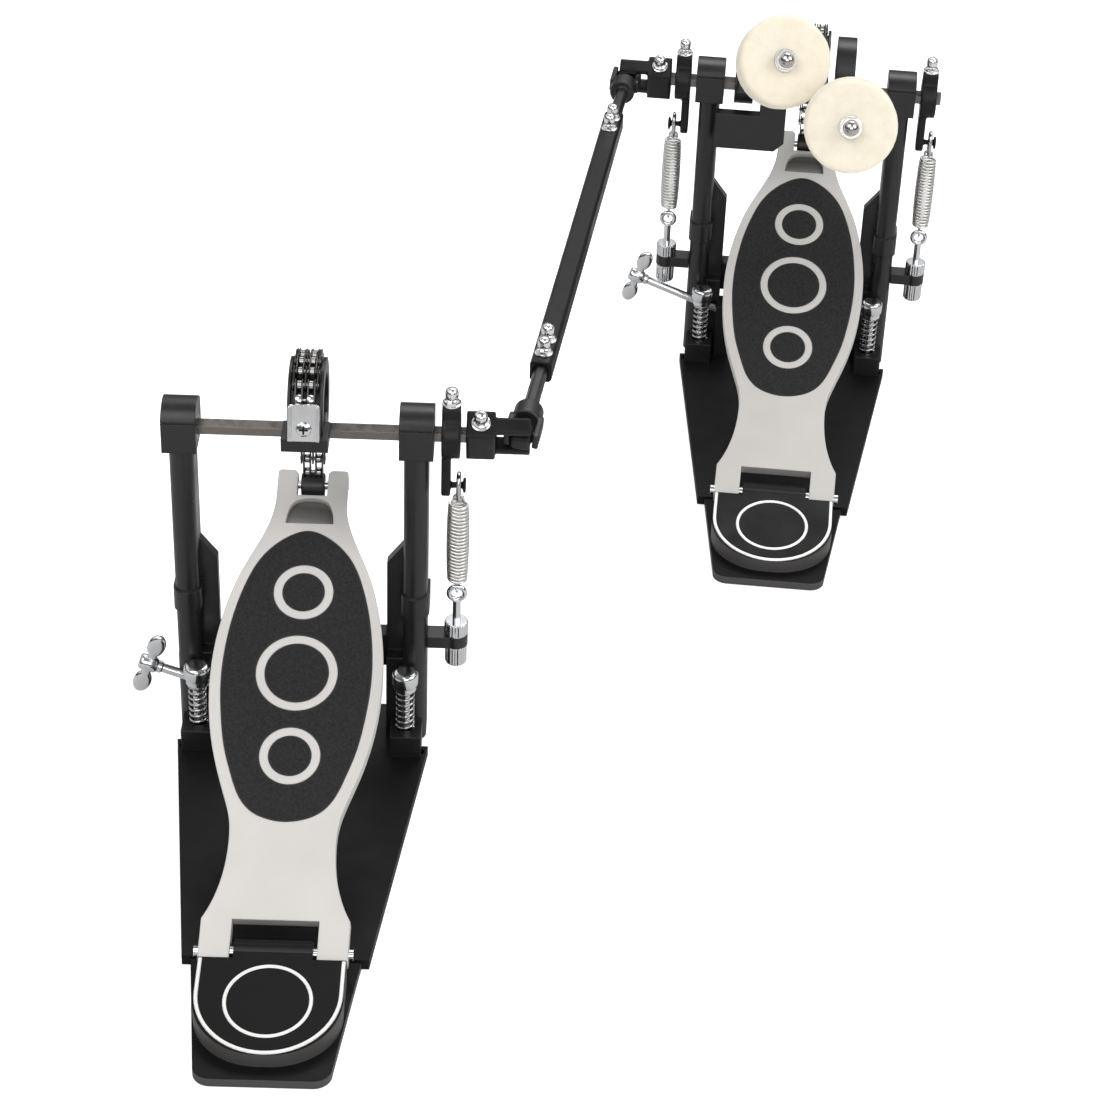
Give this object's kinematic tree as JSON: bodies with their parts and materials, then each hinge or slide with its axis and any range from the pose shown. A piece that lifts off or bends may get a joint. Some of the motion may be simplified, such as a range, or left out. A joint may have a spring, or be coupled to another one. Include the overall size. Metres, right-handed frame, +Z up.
{
  "type": "double bass drum pedal",
  "caption": "Twin-frame kick drum pedal: footboard, chain and cam drives with return springs, a telescopic universal-joint shaft between the frames and felt disc beaters.",
  "frame": {"origin": "floor point under the middle of the main pedal's axle", "axes": "+X to the player's right along the main axle, +Y towards the drum, +Z up"},
  "size_m": [0.4301, 0.7737, 0.3195],
  "materials": {
    "black_steel": "satin black coat",
    "cast_silver": "satin cast",
    "grip_rubber": "matt",
    "chrome_steel": "polished",
    "dark_nickel": "dark nickel",
    "bright_steel": "bright",
    "felt": "pressed felt",
    "black_heel": "satin black coat"
  },
  "bodies": {
    "frame": {"main_base_plate": "black_steel", "slave_base_plate": "black_steel", "main_heel_plate": "black_heel", "slave_heel_plate": "black_heel", "main_left_upright": "black_steel", "main_right_upright": "black_steel", "slave_left_upright": "black_steel", "slave_right_upright": "black_steel", "bridges": "black_steel", "centre_bracket": "black_steel", "spring_arms": "black_steel", "hinge_pins": "chrome_steel", "bearings": "bright_steel", "spring_tensioners": "chrome_steel", "spur_springs": "bright_steel"},
    "main_board": {"main_footboard": "cast_silver", "main_grip_pad": "grip_rubber", "main_toe_pin": "chrome_steel"},
    "slave_board": {"slave_footboard": "cast_silver", "slave_grip_pad": "grip_rubber", "slave_toe_pin": "chrome_steel"},
    "main_shaft": {"main_axle": "dark_nickel", "main_cam": "black_steel", "main_chain_wrap": "dark_nickel", "main_beater_hub": "black_steel", "main_right_rocker": "black_steel", "main_key_bolts": "chrome_steel", "main_beater_rod": "chrome_steel", "main_beater_felt": "felt"},
    "left_shaft": {"left_axle": "dark_nickel", "left_beater_hub": "black_steel", "main_left_rocker": "black_steel", "left_key_bolts": "chrome_steel", "left_beater_rod": "chrome_steel", "left_beater_felt": "felt", "main_yoke": "black_steel"},
    "slave_shaft": {"slave_axle": "dark_nickel", "slave_cam": "black_steel", "slave_chain_wrap": "dark_nickel", "slave_rocker": "black_steel", "slave_key_bolts": "chrome_steel", "slave_yoke": "black_steel"},
    "drive_shaft": {"shaft_tube": "black_steel", "shaft_rods": "dark_nickel", "shaft_key_bolts": "chrome_steel"},
    "main_peel": {"main_chain_peel": "dark_nickel"},
    "main_run": {"main_chain_run": "dark_nickel"},
    "slave_peel": {"slave_chain_peel": "dark_nickel"},
    "slave_run": {"slave_chain_run": "dark_nickel"},
    "main_right_coil": {"main_right_spring": "bright_steel"},
    "main_right_link": {"main_right_hook": "bright_steel"},
    "main_left_coil": {"main_left_spring": "bright_steel"},
    "main_left_link": {"main_left_hook": "bright_steel"},
    "slave_coil": {"slave_spring": "bright_steel"},
    "slave_link": {"slave_hook": "bright_steel"},
    "main_wing": {"main_wing_bolt": "chrome_steel"},
    "main_floor_spurs": {"main_spurs": "chrome_steel"},
    "slave_wing": {"slave_wing_bolt": "chrome_steel"},
    "slave_floor_spurs": {"slave_spurs": "chrome_steel"},
    "hoop_jaw": {"main_hoop_jaw": "black_steel"}
  },
  "joints": [
    {"name": "main_axle_turn", "type": "hinge", "parent": "frame", "child": "main_shaft", "pos_m": [0, 0, 0.199], "axis": [-1, 0, 0], "range_deg": [0, 46], "stiffness_Nm_per_rad": 0.35, "springref_deg": -40.11},
    {"name": "main_board_hinge", "type": "hinge", "parent": "frame", "child": "main_board", "pos_m": [0.0003, -0.197, 0.0175], "axis": [-1, 0, 0], "range_deg": [0, 6.95]},
    {"name": "main_peel_link", "type": "hinge", "parent": "main_shaft", "child": "main_peel", "pos_m": [0.0043, 0.02294, 0.23027], "axis": [-1, 0, 0], "range_deg": [-17.95, 0]},
    {"name": "main_run_link", "type": "hinge", "parent": "main_peel", "child": "main_run", "pos_m": [0.0043, 0.0335, 0.2096], "axis": [-1, 0, 0], "range_deg": [-34.92, 0]},
    {"name": "slave_axle_turn", "type": "hinge", "parent": "frame", "child": "slave_shaft", "pos_m": [-0.2493, -0.4506, 0.199], "axis": [-0.996, -0.0889, 0], "range_deg": [0, 46], "stiffness_Nm_per_rad": 0.35, "springref_deg": -40.11},
    {"name": "slave_board_hinge", "type": "hinge", "parent": "frame", "child": "slave_board", "pos_m": [-0.23149, -0.64679, 0.0175], "axis": [-0.996, -0.0889, 0], "range_deg": [0, 6.95]},
    {"name": "slave_peel_link", "type": "hinge", "parent": "slave_shaft", "child": "slave_peel", "pos_m": [-0.24706, -0.42737, 0.23027], "axis": [-0.996, -0.0889, 0], "range_deg": [-17.95, 0]},
    {"name": "slave_run_link", "type": "hinge", "parent": "slave_peel", "child": "slave_run", "pos_m": [-0.24799, -0.41685, 0.2096], "axis": [-0.996, -0.0889, 0], "range_deg": [-34.92, 0]},
    {"name": "left_axle_turn", "type": "hinge", "parent": "frame", "child": "left_shaft", "pos_m": [0, 0, 0.199], "axis": [-1, 0, 0], "range_deg": [0, 46.05]},
    {"name": "drive_shaft_turn", "type": "hinge", "parent": "frame", "child": "drive_shaft", "pos_m": [-0.13525, -0.44042, 0.199], "axis": [0.0471, 0.9989, 0], "range_deg": [-6.84, 0]},
    {"name": "main_right_spring_swing", "type": "hinge", "parent": "frame", "child": "main_right_coil", "pos_m": [0.0825, 0, 0.099], "axis": [-1, 0, 0], "range_deg": [-16.95, 0]},
    {"name": "main_right_spring_stretch", "type": "slide", "parent": "main_right_coil", "child": "main_right_link", "axis": [0, 0, 1], "range_m": [0, 0.01062], "deforming": ["main_right_spring"]},
    {"name": "main_left_spring_swing", "type": "hinge", "parent": "frame", "child": "main_left_coil", "pos_m": [-0.0825, 0, 0.099], "axis": [-1, 0, 0], "range_deg": [-16.95, 0]},
    {"name": "main_left_spring_stretch", "type": "slide", "parent": "main_left_coil", "child": "main_left_link", "axis": [0, 0, 1], "range_m": [0, 0.01062], "deforming": ["main_left_spring"]},
    {"name": "slave_spring_swing", "type": "hinge", "parent": "frame", "child": "slave_coil", "pos_m": [-0.16713, -0.44327, 0.099], "axis": [-0.996, -0.0889, 0], "range_deg": [-16.95, 0]},
    {"name": "slave_spring_stretch", "type": "slide", "parent": "slave_coil", "child": "slave_link", "axis": [0, 0, 1], "range_m": [0, 0.01062], "deforming": ["slave_spring"]},
    {"name": "main_wing_turn", "type": "hinge", "parent": "frame", "child": "main_wing", "pos_m": [-0.0605, -0.0086, 0.044], "axis": [0.9361, 0, -0.3518], "range_deg": [0, 720]},
    {"name": "main_spur_lift", "type": "slide", "parent": "frame", "child": "main_floor_spurs", "axis": [0, 0, 1], "range_m": [0, 0.004]},
    {"name": "slave_wing_turn", "type": "hinge", "parent": "frame", "child": "slave_wing", "pos_m": [-0.3088, -0.46454, 0.044], "axis": [0.9324, 0.0832, -0.3518], "range_deg": [0, 720]},
    {"name": "slave_spur_lift", "type": "slide", "parent": "frame", "child": "slave_floor_spurs", "axis": [0, 0, 1], "range_m": [0, 0.004]},
    {"name": "hoop_jaw_pivot", "type": "hinge", "parent": "frame", "child": "hoop_jaw", "pos_m": [0, 0.02, 0.04], "axis": [-1, 0, 0], "range_deg": [0, 8.05]}
  ],
  "couplings": [
    {"joint": "main_board_hinge", "follows": "main_axle_turn", "ratio": 0.14996},
    {"joint": "main_peel_link", "follows": "main_axle_turn", "ratio": -0.38914},
    {"joint": "main_run_link", "follows": "main_axle_turn", "ratio": -0.7581},
    {"joint": "slave_board_hinge", "follows": "slave_axle_turn", "ratio": 0.14996},
    {"joint": "slave_peel_link", "follows": "slave_axle_turn", "ratio": -0.38914},
    {"joint": "slave_run_link", "follows": "slave_axle_turn", "ratio": -0.7581},
    {"joint": "left_axle_turn", "follows": "slave_axle_turn", "ratio": 1},
    {"joint": "drive_shaft_turn", "follows": "slave_axle_turn", "ratio": -0.1476},
    {"joint": "main_right_spring_swing", "follows": "main_axle_turn", "ratio": -0.36745},
    {"joint": "main_right_spring_stretch", "follows": "main_axle_turn", "m_per_rad": 0.013169},
    {"joint": "main_left_spring_swing", "follows": "slave_axle_turn", "ratio": -0.36745},
    {"joint": "main_left_spring_stretch", "follows": "slave_axle_turn", "m_per_rad": 0.013169},
    {"joint": "slave_spring_swing", "follows": "slave_axle_turn", "ratio": -0.36745},
    {"joint": "slave_spring_stretch", "follows": "slave_axle_turn", "m_per_rad": 0.013169},
    {"joint": "hoop_jaw_pivot", "follows": "main_wing_turn", "ratio": 0.011111}
  ]
}
